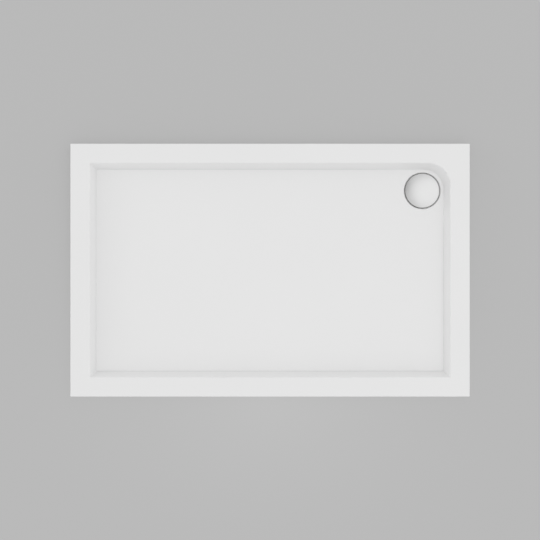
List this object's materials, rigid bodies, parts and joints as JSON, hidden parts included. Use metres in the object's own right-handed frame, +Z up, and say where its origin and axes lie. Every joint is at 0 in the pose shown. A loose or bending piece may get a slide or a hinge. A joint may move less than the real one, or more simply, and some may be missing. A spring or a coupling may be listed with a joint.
{
  "type": "shower tray",
  "caption": "Low rectangular shower tray with a flat rim, a sloping dish and a domed corner waste over a lift-out trap insert and a swivelling outlet.",
  "frame": {"origin": "middle of the tray's underside, in the plane of its bed face", "axes": "+X along the length towards the waste's end, +Y across the width towards the waste's side, +Z up"},
  "size_m": [1.2, 0.76, 0.158],
  "materials": {
    "white_acrylic": "smooth glossy white",
    "stone_resin": "cast, matt",
    "glass_fibre": "rough chopped-strand mat in resin",
    "seal_rubber": "matt black",
    "flange_steel": "turned, satin",
    "trap_plastic": "moulded, fine grain",
    "nut_plastic": "moulded, satin",
    "washer_plastic": "moulded, satin",
    "insert_plastic": "moulded, smooth grey",
    "strainer_steel": "pressed, bright",
    "dome_chrome": "polished with fine wear",
    "carrier_plastic": "moulded grey"
  },
  "bodies": {
    "tray": {"acrylic_cap": "white_acrylic", "resin_core": "stone_resin", "base_mat": "glass_fibre", "flange_seal": "seal_rubber", "body_gasket": "seal_rubber", "waste_flange": "flange_steel", "trap_body": "trap_plastic", "swivel_nut": "nut_plastic"},
    "insert": {"trap_insert": "insert_plastic", "insert_seal": "seal_rubber"},
    "strainer": {"hair_strainer": "strainer_steel"},
    "cover": {"waste_cover": "dome_chrome", "cover_carrier": "carrier_plastic"},
    "elbow": {"outlet_elbow": "trap_plastic", "elbow_seal": "seal_rubber", "cone_seal": "seal_rubber", "slip_washer": "washer_plastic", "compression_nut": "nut_plastic"}
  },
  "joints": [
    {"name": "insert_lift", "type": "slide", "parent": "tray", "child": "insert", "axis": [0, 0, 1], "range_m": [0, 0.125]},
    {"name": "strainer_lift", "type": "slide", "parent": "insert", "child": "strainer", "axis": [0, 0, 1], "range_m": [0, 0.03]},
    {"name": "cover_lift", "type": "slide", "parent": "strainer", "child": "cover", "axis": [0, 0, 1], "range_m": [0, 0.05]},
    {"name": "outlet_swivel", "type": "hinge", "parent": "tray", "child": "elbow", "pos_m": [0.526, 0.24, -0.038], "axis": [1, 0, 0], "range_deg": [0, 180]}
  ]
}
